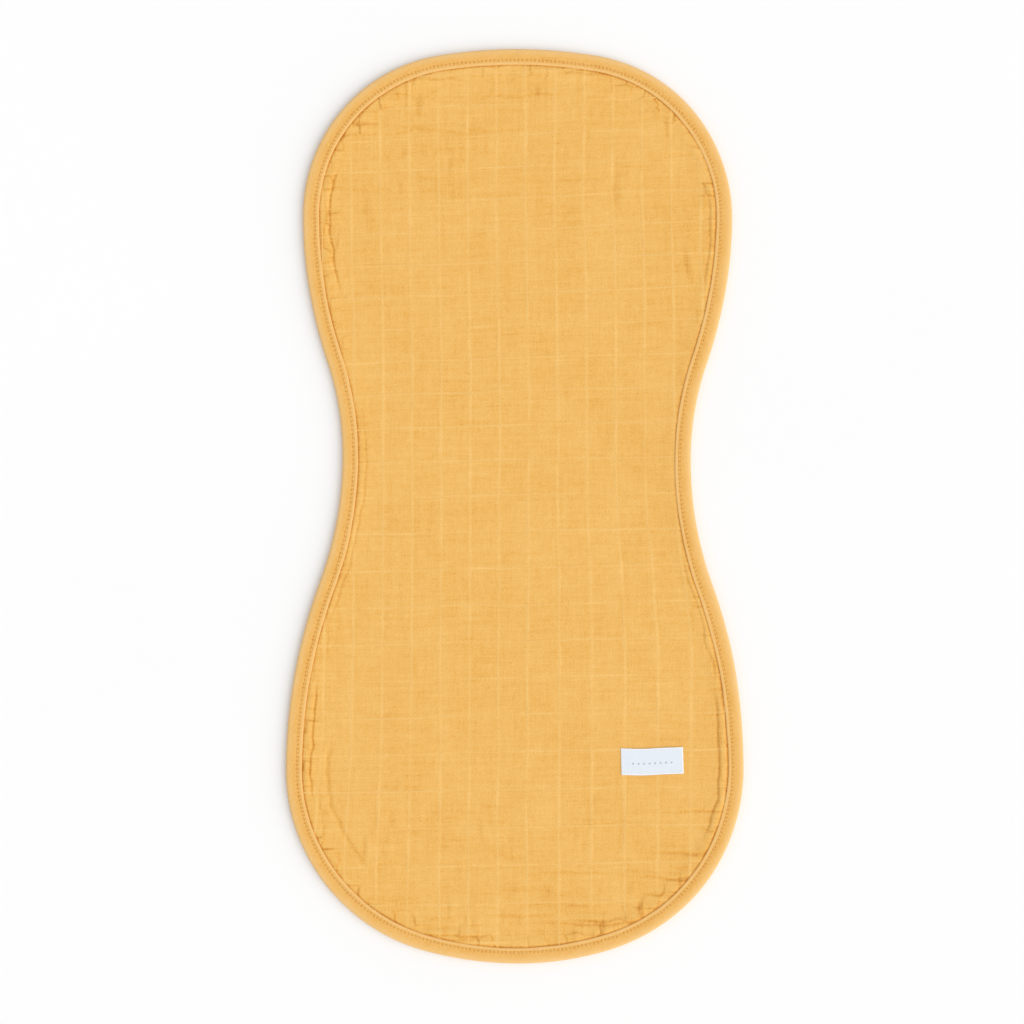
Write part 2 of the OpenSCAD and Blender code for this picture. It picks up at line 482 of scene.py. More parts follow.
def yarn_wrinkles(side, u, v):
    """Small wrinkles that run with the yarns, with height and the shade painted into their furrows.
    """
    height = np.zeros(np.shape(u))
    crease = np.zeros(np.shape(u))
    wander = 1.5 * noise(u / 11, v / 13, side.seed + 10)
    for wrinkle in side.wrinkles:
        run, off = u - wrinkle.u, v - wrinkle.v
        if wrinkle.along_warp:
            run, off = off, run
        ends = np.clip(1 - (2 * run / wrinkle.length) ** 2, 0, 1) ** 1.5
        off = off - wander
        ridge = bell(off, wrinkle.width)
        furrow = bell(off + 1.15 * wrinkle.width, 0.55 * wrinkle.width)
        height += 0.66 * ends * wrinkle.height * (ridge - 0.8 * furrow)
        # Painted shade in the wrinkle's furrow.
        crease += ends * wrinkle.height * furrow
    return height, crease


def relief(side, x, y):
    """Height of an outer face above its flat level, how much shade is painted into its creases, and
    its yarn coordinates.
    """
    inset, station = locate(x, y)
    into = inset - LIP_INSET
    u, v = weave_place(side, x, y)
    gather_h, gather_c = gathers(side, u, v, into, station)
    fold_h, fold_c = edge_folds(side, x, y, into, station)
    wrinkle_h, wrinkle_c = yarn_wrinkles(side, u, v)
    cockle = 0.035 * noise(u / 3.4, v / 15, side.seed + 11)
    cockle = cockle + 0.035 * noise(u / 15, v / 3.4, side.seed + 12)
    free = smoothstep(-0.4, 2.2, into)
    flat = 1 - (under_label(x, y) if side is FACE else 0)
    furrow_h, furrow_c = lip_furrow(side, into, station)
    height = free * flat * (gather_h + fold_h + wrinkle_h + cockle) + furrow_h
    # Painted shade from the gathers, folds and wrinkles, capped, and the painted shade along the
    # lip.
    crease = np.clip(gather_c + fold_c + wrinkle_c, 0, DEEPEST_CREASE_SHADE)
    crease = smoothstep(-0.4, 0.6, into) * flat * crease + furrow_c
    return height, np.clip(crease, 0, 1), u, v


def sag(x, y):
    """How far the stack sinks inside the binding, from 0 at its lip to 1 further in."""
    inset, _ = locate(x, y)
    return smoothstep(LIP_INSET - 1, LIP_INSET + 19, inset)


def stack_level(x, y, level, share):
    """Height of a layer of the stack; its share of the broad swell grows from floor to face."""
    u, v = weave_place(FACE, x, y)
    return level - SAG * sag(x, y) + share * swell(FACE, u, v) * sag(x, y)


def face_height(x, y):
    """The outside of the face cloth."""
    height, _, _, _ = relief(FACE, x, y)
    return stack_level(x, y, top_of("face_outer_ply"), 1) + height


def face_inside(x, y):
    """The hidden side of the face cloth's outer ply."""
    return stack_level(x, y, top_of("face_outer_ply") - PLY_T, 1)


def back_level(x, y):
    """The underside of the back cloth before it is dented."""
    return bottom_of("back_outer_ply") - UNDERSIDE_SAG * sag(x, y)


def back_height(x, y):
    """The outside of the back cloth, which only has dents, as it lies on the floor."""
    height, _, _, _ = relief(BACK, x, y)
    return back_level(x, y) + 0.14 * np.clip(0.5 - height, 0, 1.2)


def back_inside(x, y):
    """The hidden side of the back cloth's outer ply."""
    return back_level(x, y) + PLY_T


# ---------------- meshes

EDGE_SPACING = 1.6
THREAD_SIDES = 6
# A hidden ply is this much thinner on each side, so that plies don't touch.
PLY_CLEARANCE = 0.02


def put_in_scene(name, data):
    """A new object that shows this mesh, light or camera."""
    made = bpy.data.objects.new(name, data)
    bpy.context.scene.collection.objects.link(made)
    return made


class Parts:
    """Collects vertices, faces and per-vertex values of one mesh."""

    def __init__(self):
        self.points, self.faces, self.values = [], [], {}
        self.count = 0

    def add(self, points, faces, **values):
        """Adds one lump; faces are index arrays with the same number of corners in each array."""
        self.points.append(points)
        for group in faces:
            self.faces += (np.asarray(group) + self.count).tolist()
        for name, value in values.items():
            self.values.setdefault(name, []).append(value)
        self.count += len(points)

    def build(self, name, material, node, smooth=True):
        """Makes the object, rides it on the root body and hides the CAD node that it stands for."""
        mesh = bpy.data.meshes.new(name)
        mesh.from_pydata((np.concatenate(self.points) * MM).tolist(), [], self.faces)
        for key, value in self.values.items():
            value = np.concatenate(value)
            kind, field = ("FLOAT", "value") if value.ndim == 1 else ("FLOAT_VECTOR", "vector")
            attribute = mesh.attributes.new(key, kind, "POINT")
            attribute.data.foreach_set(field, value.astype(np.float32).ravel())
        mesh.polygons.foreach_set("use_smooth", [smooth] * len(mesh.polygons))
        mesh.update()
        mesh.materials.append(material)
        piece = put_in_scene(name, mesh)
        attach(piece, "root")
        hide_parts(node)
        return piece


def edge_row(inset, spacing, phase=0.0):
    """Evenly spaced points on a curve parallel to the outline, clockwise."""
    count = int(ROUND / spacing)
    station = (np.arange(count) + phase) * ROUND / count
    return np.stack(edge_point(station, inset), axis=1)


def inside_grid(spacing, least_inset):
    """Staggered grid points that lie at least that far inside the outline."""
    xs = np.arange(-LOWER_W / 2, LOWER_W / 2, spacing)
    ys = np.arange(-CLOTH_L / 2, CLOTH_L / 2, spacing * math.sqrt(3) / 2)
    x, y = np.meshgrid(xs, ys)
    x[1::2] += spacing / 2
    x, y = x.ravel(), y.ravel()
    inset, _ = locate(x, y)
    keep = (inset >= least_inset) & inside_outline(x, y)
    return np.stack([x[keep], y[keep]], axis=1)


def triangulate(points, loop):
    """Triangles of a cut of cloth whose first loop points are its edge, all facing up."""
    found = delaunay_2d_cdt(
        [Vector(p) for p in points.tolist()], [], [list(range(loop))[::-1]], 1, 1e-5
    )
    if len(found[0]) != len(points):
        raise RuntimeError("the triangulation merged or added points")
    return np.array(found[2])


def fine_points():
    """Points of an outer ply: close beside the binding, where the gathers are, and wider inside."""
    rows = [edge_row(PLY_INSET, EDGE_SPACING), edge_row(5.4, 1.7), edge_row(7.5, 1.1)]
    inset, spacing = 8.3, 0.58
    while inset < 34:
        rows.append(edge_row(inset, spacing, phase=0.5 * ((len(rows) + 1) % 2)))
        spacing = float(np.interp(inset, [17, 20, 34], [0.58, 0.88, 1.55]))
        inset += spacing
    rows.append(inside_grid(1.65, inset))
    return np.concatenate(rows), len(rows[0])


def coarse_points():
    """Points of a ply, or a side of one, that is hidden; its edge matches that of the fine one."""
    rows = [edge_row(PLY_INSET, EDGE_SPACING)]
    rows += [edge_row(inset, 2.4) for inset in (5.0, 7.5, 10.0, 13.0)]
    rows.append(inside_grid(4.0, 15.5))
    return np.concatenate(rows), len(rows[0])


def ply_lump(parts, upper, lower, loop, upper_z, lower_z, values):
    """A closed thin sheet between two surfaces that share their edge."""
    upper_tris = triangulate(upper, loop)
    lower_tris = triangulate(lower, loop)[:, ::-1] + len(upper)
    ring = np.arange(loop)
    after = np.roll(ring, -1)
    wall = np.stack([ring, after, after + len(upper), ring + len(upper)], axis=1)
    top = np.column_stack([upper, upper_z(upper[:, 0], upper[:, 1])])
    low = np.column_stack([lower, lower_z(lower[:, 0], lower[:, 1])])
    parts.add(np.concatenate([top, low]), [upper_tris, lower_tris, wall], **values)


def weave_values(side, points):
    """Per-vertex yarn coordinates in mm with the row number, and the shade painted into the
    creases.
    """
    _, crease, u, v = relief(side, points[:, 0], points[:, 1])
    return np.column_stack([u, v, weft_row(v)]), crease


def outer_ply(name, side, surfaces, node, material):
    """The face's or the back's outer ply, with its fine points on the side that shows."""
    fine, loop = fine_points()
    coarse, _ = coarse_points()
    sheets = (fine, coarse) if side is FACE else (coarse, fine)
    weave, crease = zip(*(weave_values(side, points) for points in sheets))
    values = {"weave": np.concatenate(weave), "crease": np.concatenate(crease)}
    parts = Parts()
    ply_lump(parts, *sheets, loop, *surfaces, values)
    return parts.build(name, material, node)


def inner_ply(name, node, share, material):
    """A ply inside the stack: the same sheet above and below, a thickness apart."""
    points, loop = coarse_points()
    weave, _ = weave_values(BACK, points)
    values = {"weave": np.concatenate([weave, weave]), "crease": np.zeros(2 * len(points))}
    upper_z = partial(stack_level, level=top_of(node) - PLY_CLEARANCE, share=share)
    lower_z = partial(stack_level, level=bottom_of(node) + PLY_CLEARANCE, share=share)
    parts = Parts()
    ply_lump(parts, points, points, loop, upper_z, lower_z, values)
    return parts.build(name, material, node)


def sweep_quads(rows, sides, closed=False):
    """Quads between rows of points that run round a section; closed joins the last to the first."""
    start = np.arange(rows if closed else rows - 1)[:, None] * sides
    side = np.arange(sides)
    a = (start + side).ravel()
    b = (start + (side + 1) % sides).ravel()
    total = rows * sides
    return np.stack([a, b, (b + sides) % total, (a + sides) % total], axis=1)


def distances(path):
    """How far each point of a path lies along it."""
    return np.concatenate([[0], np.cumsum(np.linalg.norm(np.diff(path, axis=0), axis=1))])


def unit(vectors):
    """The vectors at a length of 1."""
    return vectors / np.maximum(np.linalg.norm(vectors, axis=1), 1e-9)[:, None]


def tube(parts, path, half_w, half_h, closed=False):
    """A thread along a path that runs nearly level, with its length and turn as vertex values."""
    ahead = np.roll(path, -1, axis=0) - np.roll(path, 1, axis=0)
    if not closed:
        ahead[0] = path[1] - path[0]
        ahead[-1] = path[-1] - path[-2]
    level = unit(np.column_stack([-ahead[:, 1], ahead[:, 0], 0 * ahead[:, 0]]))
    raised = unit(np.cross(ahead, level))
    turn = 2 * math.pi * np.arange(THREAD_SIDES) / THREAD_SIDES
    ring = path[:, None] + half_w * np.cos(turn)[:, None] * level[:, None]
    ring = ring + half_h * np.sin(turn)[:, None] * raised[:, None]
    faces = [sweep_quads(len(path), THREAD_SIDES, closed)]
    if not closed:
        first = np.arange(THREAD_SIDES)
        faces += [first[None, ::-1], (first + (len(path) - 1) * THREAD_SIDES)[None, :]]
    along = np.repeat(distances(path), THREAD_SIDES)
    around = np.tile(np.arange(THREAD_SIDES) / THREAD_SIDES, len(path))
    parts.add(ring.reshape(-1, 3), faces, thread=np.column_stack([along, around, 0 * along]))


# ---------------- tie yarns

TIE_HALF_W = 0.30
TIE_HALF_H = 0.03
# Length of one turn over and under the outer ply, and how high it goes.
TIE_FLOAT = 2.3
TIE_RISE = 0.04
# Spacing of a tie yarn's points on an outer cloth, and in the core, where it lies straight.
TIE_STEP = 0.62
CORE_TIE_STEP = 5.0


def tie_paths(side, place, u, v, step, rise):
    """Points of one tie yarn on a surface, going over and under the outer ply, for each of its
    runs inside the outline."""
    across, along = weave_shift(side, u, v)
    x, y = u + across, v + along
    inset, _ = locate(x, y)
    inside = np.flatnonzero(inside_outline(x, y) & (inset > PLY_INSET + 2))
    found = []
    for run in np.split(inside, np.flatnonzero(np.diff(inside) > 1) + 1):
        if len(run) < 4:
            continue
        place_x, place_y = x[run], y[run]
        turn = 2 * math.pi * run * step / TIE_FLOAT + 0.7 * np.sin(run * step / 7.0 + u[0] + v[0])
        buried = 1.7 * noise(run * step / 17.0, 0 * run + (u[0] + v[0]) / 7, side.seed + 14)
        height = place(place_x, place_y) + rise * (np.sin(turn) - 0.5 + buried)
        found.append(np.column_stack([place_x, place_y, height]))
    return found


def tie_lines(way, step):
    """Yarn coordinates of the points of each lengthwise or crosswise tie yarn."""
    if way == "warp":
        v = np.arange(-CLOTH_L / 2, CLOTH_L / 2, step)
        count = int(LOWER_W / 2 / WARP_PITCH)
        places = WARP_OFFSET + WARP_PITCH * np.arange(-count - 1, count + 1)
        return [(np.full_like(v, place), v) for place in places]
    u = np.arange(-LOWER_W / 2, LOWER_W / 2, step)
    rows = int(weft_row(np.array(WEFT_START - CLOTH_L / 2))) + 1
    return [(u, np.full_like(u, weft_v(row))) for row in range(rows)]


def tie_yarns(cloth, way, side, place, step, rise, material):
    """The lengthwise or crosswise tie yarns of one double cloth."""
    parts = Parts()
    for u, v in tie_lines(way, step):
        for path in tie_paths(side, place, u, v, step, rise):
            tube(parts, path, TIE_HALF_W, TIE_HALF_H)
    name, node = f"{cloth}_{way}_ties", f"{cloth}_tie_{way}"
    return parts.build(name, material, node, smooth=False)


# ---------------- binding and stitches

STITCHES = round(ROUND / STITCH_PITCH)
STATIONS_PER_STITCH = 4
THREAD_POINTS_PER_STITCH = 8
STITCH_GROOVE = 0.13
# The seam starts at this share of the way round, and runs over its start by so many stitches, where
# the second thread lies a little further in and higher.
SEAM_START = 0.573
OVERLAP_STITCHES = 9
OVERLAP_INSET = 0.38
OVERLAP_LIFT = 0.12
# How high the needle thread's middle lies over the groove, and how far each thread dips at a hole.
NEEDLE_LIFT = 0.16
NEEDLE_DIP = 0.30
BOBBIN_DIP = 0.42


def binding_skin(low, high):
    """Corners (inset, height) of the binding's cross-section: its top, and then all the rest."""
    top = [(0.10, 1.35), (0.45, 0.50), (1.30, 0.10), (3.20, -0.04), (5.20, 0)]
    top += [(STITCH_INSET, STITCH_GROOVE), (7.05, 0.04), (7.80, 0), (8.32, 0.03), (8.62, 0.16)]
    top += [(LIP_INSET, 0.42), (LIP_INSET - 0.12, 0.66)]
    upper_inside = [(7.0, 0.66), (4.0, 0.66), (2.35, 1.1)]
    lower_inside = [(2.35, 1.1), (4.0, 0.64), (7.0, 0.64), (LIP_INSET - 0.1, 0.6)]
    under = [(LIP_INSET, 0.3), (8.3, 0.06), (7.2, 0.05), (STITCH_INSET, 0.32), (5.4, 0.08)]
    under += [(3.4, 0), (1.4, 0.18), (0.30, 1.1)]
    middle = (low + high) / 2
    rest = [(inset, high - depth) for inset, depth in upper_inside]
    rest += [(2.0, middle)]
    rest += [(inset, low + height) for inset, height in lower_inside + under]
    rest += [(0.0, middle - 0.1)]
    return [(inset, high - depth) for inset, depth in top], rest


def smooth_loop(corners, cuts):
    """Catmull-Rom curve through a closed loop of corners, with that many cuts after each."""
    corners = np.array(corners)
    out = []
    for i, count in enumerate(cuts):
        p0, p1, p2, p3 = (corners[(i + k - 1) % len(corners)] for k in range(4))
        for t in np.arange(count) / count:
            out.append(
                0.5 * (2 * p1 + (p2 - p0) * t + (2 * p0 - 5 * p1 + 4 * p2 - p3) * t**2)
                + 0.5 * (3 * p1 - p0 - 3 * p2 + p3) * t**3
            )
    return np.array(out)


def needle_holes(stitches):
    """1 at each whole number of stitches, where the needle goes in, and 0 between them."""
    return bell(np.mod(stitches + 0.5, 1) - 0.5, 0.22)


def binding_wobble(station):
    """Slow changes of the binding along its run: outer edge, lip and plumpness."""
    lip = 0.20 * round_noise(station, 53, 62) + 0.10 * round_noise(station, 160, 63)
    return 0.22 * round_noise(station, 29, 61), lip, 0.13 * round_noise(station, 41, 64)


def edge_binding(material):
    """The bias tape folded over the edge, swept round the outline."""
    low, high = bottom_of("edge_binding"), top_of("edge_binding")
    top_skin, rest = binding_skin(low, high)
    profile = smooth_loop(top_skin + rest, [2] * len(top_skin) + [1] * len(rest))
    rows = STITCHES * STATIONS_PER_STITCH
    station = (np.arange(rows) * ROUND / rows)[:, None]
    outer, lip, plump = binding_wobble(station)
    inset0, z0 = profile[None, :, 0], profile[None, :, 1]
    face_side = smoothstep(high - 1.6, high - 0.5, z0)
    inset = inset0 + outer * (1 - smoothstep(0, 5, inset0)) + lip * smoothstep(6.6, 8.4, inset0)
    groove = bell(inset0 - STITCH_INSET, 0.62)
    # The needle holes dent the tape, and on the face they also get painted shade.
    hole = needle_holes(station * STITCHES / ROUND)
    puff = (1 - hole) * bell(inset0 - STITCH_INSET, 1.3)
    hole = hole * groove
    drag = noise((station + 1.3 * inset0) / ROUND * 230, inset0 / 7, 65, (230, 4))
    z = z0 + face_side * (
        plump * smoothstep(0, 3, inset0) + 0.05 * puff - 0.04 * hole + 0.06 * drag * (1 - groove)
    )
    # Painted highlight along the lip on the face, and painted sheen along the outer rim.
    rim = 1 - smoothstep(0.4, 4.6, inset0)
    pale = np.maximum(0.8 * bell(inset0 - 8.0, 0.7) * face_side, rim)
    across = np.cumsum(np.linalg.norm(np.diff(profile, axis=0, prepend=profile[-1:]), axis=1))
    fields = (*edge_point(station, inset), z, station, across, pale, hole * face_side)
    x, y, z, run, across, pale, hole = (part.ravel() for part in np.broadcast_arrays(*fields))
    parts = Parts()
    quads = sweep_quads(rows, len(profile), closed=True)
    tape = np.column_stack([run, across, 0 * run])
    parts.add(np.column_stack([x, y, z]), [quads], tape=tape, pale=pale, hole=hole)
    return parts.build("binding_tape", material, "edge_binding")


def sewn_path(station, inset, level, depth):
    """A row of lockstitches: level between the holes, and down into them."""
    inset = inset + 0.10 * round_noise(station, 90, 71)
    x, y = edge_point(station, inset)
    return np.column_stack([x, y, level - depth * needle_holes(station * STITCHES / ROUND)])


def needle_thread(material):
    """The topstitching on the face, with its start sewn over."""
    stitch = ROUND / STITCHES
    run = np.arange(0, ROUND + OVERLAP_STITCHES * stitch, stitch / THREAD_POINTS_PER_STITCH)
    station = SEAM_START * ROUND + run
    second = smoothstep(ROUND - 2, ROUND + 1, run)
    _, _, plump = binding_wobble(station)
    level = top_of("edge_binding") - STITCH_GROOVE + plump + NEEDLE_LIFT + OVERLAP_LIFT * second
    path = sewn_path(station, STITCH_INSET + OVERLAP_INSET * second, level, NEEDLE_DIP)
    parts = Parts()
    tube(parts, path, THREAD_R, THREAD_R)
    return parts.build("needle_stitches", material, "binding_needle_thread")


def bobbin_thread(material):
    """The topstitching on the back."""
    count = STITCHES * THREAD_POINTS_PER_STITCH
    station = np.arange(count) * ROUND / count
    level = bottom_of("binding_bobbin_thread") + THREAD_R
    parts = Parts()
    path = sewn_path(station, STITCH_INSET, level, -BOBBIN_DIP)
    tube(parts, path, THREAD_R, THREAD_R, closed=True)
    return parts.build("bobbin_stitches", material, "binding_bobbin_thread")


# ---------------- label

# The seam's thread: half its width and height, how high it lies over the label, how far it dips
# into a hole, and how far under the face cloth's outer ply the bobbin thread lies.
LABEL_THREAD_HALF_W = 0.14
LABEL_THREAD_HALF_H = 0.10
LABEL_THREAD_LIFT = 0.03
LABEL_THREAD_DIP = 0.16
LABEL_BOBBIN_DROP = 0.12


def label_place(a, b):
    """Floor position of a point of the label, a along and b across it, with its slight bow."""
    b = b - 0.40 * np.cos(math.pi * a / LABEL_L) + 0.12 * np.sin(3 * math.pi * a / LABEL_L)
    x = LABEL_X + a * math.cos(LABEL_TURN) - b * math.sin(LABEL_TURN)
    y = LABEL_Y + a * math.sin(LABEL_TURN) + b * math.cos(LABEL_TURN)
    return x, y


def label_ground(a, b):
    """Height of the cloth under the label."""
    x, y = label_place(a, b)
    return stack_level(x, y, top_of("face_outer_ply"), 1)


def label_fold_path():
    """Middle line of the label's tape seen from the side: both ends are turned under."""
    turn_r = 0.5 * LABEL_T + 0.03
    end = LABEL_L / 2 - turn_r - LABEL_T / 2
    low = LABEL_T / 2 + 0.05
    arc = np.linspace(-math.pi / 2, math.pi / 2, 7)
    bend = np.column_stack([-end - turn_r * np.cos(arc), low + turn_r * (1 + np.sin(arc))])
    under = np.linspace(LABEL_FOLD - LABEL_L / 2, -end, 6)[:-1]
    left = np.concatenate([np.column_stack([under, [low] * len(under)]), bend])
    over = np.linspace(-end, end, 42)[1:-1]
    top = np.column_stack([over, low + 2 * turn_r + 0 * over])
    return np.concatenate([left, top, left[::-1] * (-1, 1)])


def label(material):
    """The woven label: one strip of tape, with thickness, folded at both ends."""
    line = label_fold_path()
    ahead = unit(np.gradient(line, axis=0))
    normal = np.column_stack([-ahead[:, 1], ahead[:, 0]])
    half = LABEL_T / 2
    loop = np.concatenate([line + half * normal, (line - half * normal)[::-1]])
    run = distances(line)
    run = run - run[-1] / 2
    run = np.concatenate([run, run[::-1]])
    a, rise = loop[None, :, 0], loop[None, :, 1]
    share = np.sin(np.linspace(-math.pi / 2, math.pi / 2, 25))[:, None]
    b = LABEL_W / 2 * share
    puff = 0.10 * noise(a / 9 + 3, b / 7 + 2, 81) + 0.05 * bell(np.abs(share) - 1, 0.12)
    z = label_ground(a, b) + rise + np.maximum(puff, -0.04) * (rise > half)
    fields = np.broadcast_arrays(*label_place(a, b), z, run, b, a)
    x, y, z, run, b, a = (part.ravel() for part in fields)
    strip = np.arange(len(line) - 1)
    facing = len(loop) - 1 - strip
    first = np.stack([strip, facing, facing - 1, strip + 1], axis=1)
    last = first[:, ::-1] + (len(share) - 1) * len(loop)
    faces = [sweep_quads(len(share), len(loop)), first, last]
    parts = Parts()
    parts.add(np.column_stack([x, y, z]), faces, ribbon=np.column_stack([run, b, a]))
    return parts.build("label_tape", material, "label")


def label_stitches(name, node, lift, depth, material):
    """The seam round the label, on all four sides."""
    half = np.array([LABEL_L, LABEL_W]) / 2 - LABEL_STITCH_INSET
    corners = half * [(-1, -1), (1, -1), (1, 1), (-1, 1)]
    path = []
    for here, there in zip(corners, np.roll(corners, -1, axis=0)):
        count = round(np.linalg.norm(there - here) / LABEL_STITCH_PITCH)
        stitches = np.arange(count * THREAD_POINTS_PER_STITCH) / THREAD_POINTS_PER_STITCH
        point = here + stitches[:, None] / count * (there - here)
        path.append(np.column_stack([point, lift - depth * needle_holes(stitches)]))
    a, b, level = np.concatenate(path).T
    path = np.column_stack([*label_place(a, b), label_ground(a, b) + level])
    parts = Parts()
    tube(parts, path, LABEL_THREAD_HALF_W, LABEL_THREAD_HALF_H, closed=True)
    return parts.build(name, material, node)


# ---------------- materials


class Nodes:
    """Short names for the shader nodes that the materials are made of."""

    def __init__(self, name):
        self.material = bpy.data.materials.new(name)
        self.material.use_nodes = True
        self.tree = self.material.node_tree
        self.shader = self.tree.nodes["Principled BSDF"]

    def put(self, socket, value):
        if isinstance(value, bpy.types.NodeSocket):
            self.tree.links.new(value, socket)
        else:
            socket.default_value = value

    def make(self, kind, *inputs, **settings):
        """A new node of that kind, with these settings and these values for its first inputs."""
        made = self.tree.nodes.new("ShaderNode" + kind)
        for name, value in settings.items():
            setattr(made, name, value)
        for socket, value in zip(made.inputs, inputs):
            self.put(socket, value)
        return made

    def attribute(self, name):
        return self.make("Attribute", attribute_name=name)

    def split(self, vector):
        return tuple(self.make("SeparateXYZ", vector).outputs)

    def math(self, operation, a, b=0.0):
        return self.make("Math", a, b, operation=operation).outputs[0]

    def times(self, a, b):
        return self.math("MULTIPLY", a, b)

    def sum(self, base, *terms):
        """The base and the terms; a term is a value, or a value and its weight."""
        total = base
        for term in terms:
            if isinstance(term, tuple):
                term = self.times(*term)
            total = self.math("ADD", total, term)
        return total

    def noise(self, x, y, width, length, detail=2.0):
        """Noise whose blotches are that wide and long, around zero."""
        place = self.make("CombineXYZ", self.times(x, 1 / width), self.times(y, 1 / length))
        made = self.make("TexNoise", place.outputs[0])
        self.put(made.inputs["Scale"], 1.0)
        self.put(made.inputs["Detail"], detail)
        return self.math("SUBTRACT", made.outputs["Fac"], 0.5)

    def weave(self, x, y, pitch):
        """Plain weave: yarns over and under each other."""
        a = self.math("SINE", self.times(x, math.pi / pitch))
        b = self.math("SINE", self.times(y, math.pi / pitch))
        return self.times(a, b)

    def ease(self, value, low, high):
        """Smooth step from 0 at low to 1 at high."""
        made = self.make("MapRange", value, low, high, interpolation_type="SMOOTHSTEP")
        return made.outputs[0]

    def ramp(self, value, stops):
        """Colour between the stops, which are pairs of a place from 0 to 1 and a colour."""
        made = self.make("ValToRGB", value)
        elements = made.color_ramp.elements
        while len(elements) < len(stops):
            elements.new(0.5)
        for element, (place, colour) in zip(elements, stops):
            element.position = place
            element.color = (*colour, 1)
        return made.outputs[0]

    def finish(self, colour, roughness, height, bump_mm, sheen, sheen_tint):
        """Gives the shader its values; all the materials here are dull cloth or thread."""
        bump = self.make("Bump")
        self.put(bump.inputs["Strength"], 1.0)
        self.put(bump.inputs["Distance"], bump_mm * MM)
        self.put(bump.inputs["Height"], height)
        values = {
            "Base Color": colour,
            "Normal": bump.outputs[0],
            "Roughness": roughness,
            "Specular IOR Level": 0.2,
            "Sheen Weight": sheen,
            "Sheen Roughness": 0.45,
            "Sheen Tint": (*sheen_tint, 1),
        }
        for name, value in values.items():
            self.put(self.shader.inputs[name], value)
        return self.material


def linear(red, green, blue):
    """Linear colour from display values of 0 to 255."""
    return tuple(
        c / 12.92 if c <= 0.04045 else ((c + 0.055) / 1.055) ** 2.4
        for c in (red / 255, green / 255, blue / 255)
    )


# The deep colours are mostly where painted shade takes the tone: OCHRE_DEEP in the creases and
# along the binding's lip, TAPE_DEEP in the needle holes. TAPE_PALE is where the tape's painted
# highlight along the lip and painted sheen along its outer rim take it, as well as the top of its
# random tone.
OCHRE = linear(235, 183, 100)
OCHRE_DEEP = linear(198, 127, 44)
OCHRE_SHADE = linear(229, 171, 84)
OCHRE_PALE = linear(246, 201, 124)
TAPE = linear(236, 184, 105)
TAPE_DEEP = linear(204, 137, 54)
TAPE_PALE = linear(239, 198, 136)
YARN = linear(239, 192, 113)
YARN_DEEP = linear(234, 184, 103)
THREAD = linear(244, 202, 126)
THREAD_DEEP = linear(228, 176, 94)
WHITE_THREAD = (0.90, 0.92, 0.95)
WHITE_THREAD_DEEP = (0.74, 0.78, 0.83)
LABEL_DEEP = (0.40, 0.47, 0.52)
LABEL_WHITE = (0.775, 0.835, 0.91)
LABEL_PALE = (0.93, 0.95, 0.98)

# The gauze's textures: width and length of their blotches in mm, and weights in tone and height.
GAUZE_TEXTURES = (
    (0.5, 0.5, 0.61, 0.9),  # grain
    (1.0, 1.2, 0.45, 1.0),  # flecks
    (0.8, 16, 0.26, 0.5),  # slubs in the warp
    (16, 0.8, 0.24, 0.5),  # slubs in the weft
    (46, 2.2, 0.26, 1.2),  # streaks along the weft
    (4.5, 90, 0.16, 0),  # bands along the warp
    (3.0, 3.6, 0.25, 0),  # blotches
    (9, 11, 0.17, 0),  # patches
)


def gauze(name, line_strength=1.0):
    """Double gauze: fine open weave with slubs, pale lines where the plies are tied, and painted
    shade in its creases.
    """
    n = Nodes(name)
    u, v, row = n.split(n.attribute("weave").outputs["Vector"])
    crease = n.attribute("crease").outputs["Fac"]
    weave = n.weave(u, v, YARN_PITCH)
    textures = [
        (n.noise(u, v, width, length), tone, height)
        for width, length, tone, height in GAUZE_TEXTURES
    ]
    cloud = n.noise(u, v, 34, 42, detail=3)

    warp_gap = n.math("PINGPONG", n.math("SUBTRACT", u, WARP_OFFSET), WARP_PITCH / 2)
    weft_gap = n.times(n.math("PINGPONG", row, 0.5), WEFT_PITCH)
    warp_gap = n.sum(warp_gap, (n.noise(u, v, 3, 9), 0.9))
    weft_gap = n.sum(weft_gap, (n.noise(u, v, 9, 3), 0.5))
    warp_fade = n.ease(n.noise(u, v, 6, 24), -0.16, 0.20)
    weft_fade = n.ease(n.noise(u, v, 24, 6), -0.10, 0.20)
    warp_line = n.times(n.ease(warp_gap, 1.25, 0.15), n.sum(0.25, (warp_fade, 0.75)))
    weft_line = n.times(n.ease(weft_gap, 0.75, 0.10), n.sum(0.10, (weft_fade, 0.90)))
    lines = n.math("MAXIMUM", warp_line, weft_line)

    tone = n.sum(0.55, *((field, share) for field, share, _ in textures))
    # Painted shade darkens the tone in the creases.
    tone = n.sum(tone, (cloud, 0.24), (weave, 0.03), (lines, 0.24 * line_strength), (crease, -0.62))
    stops = [(0.0, OCHRE_DEEP), (0.38, OCHRE_SHADE), (0.58, OCHRE), (1.0, OCHRE_PALE)]
    colour = n.ramp(tone, stops)
    raised = [(field, share) for field, _, share in textures if share]
    height = n.sum(0.0, *raised, (weave, 0.30), (lines, 0.4))
    grain, _, _ = textures[0]
    roughness = n.sum(0.86, (grain, 0.12), (lines, -0.04))
    return n.finish(colour, roughness, height, 0.09, sheen=0.12, sheen_tint=(1.0, 0.9, 0.74))


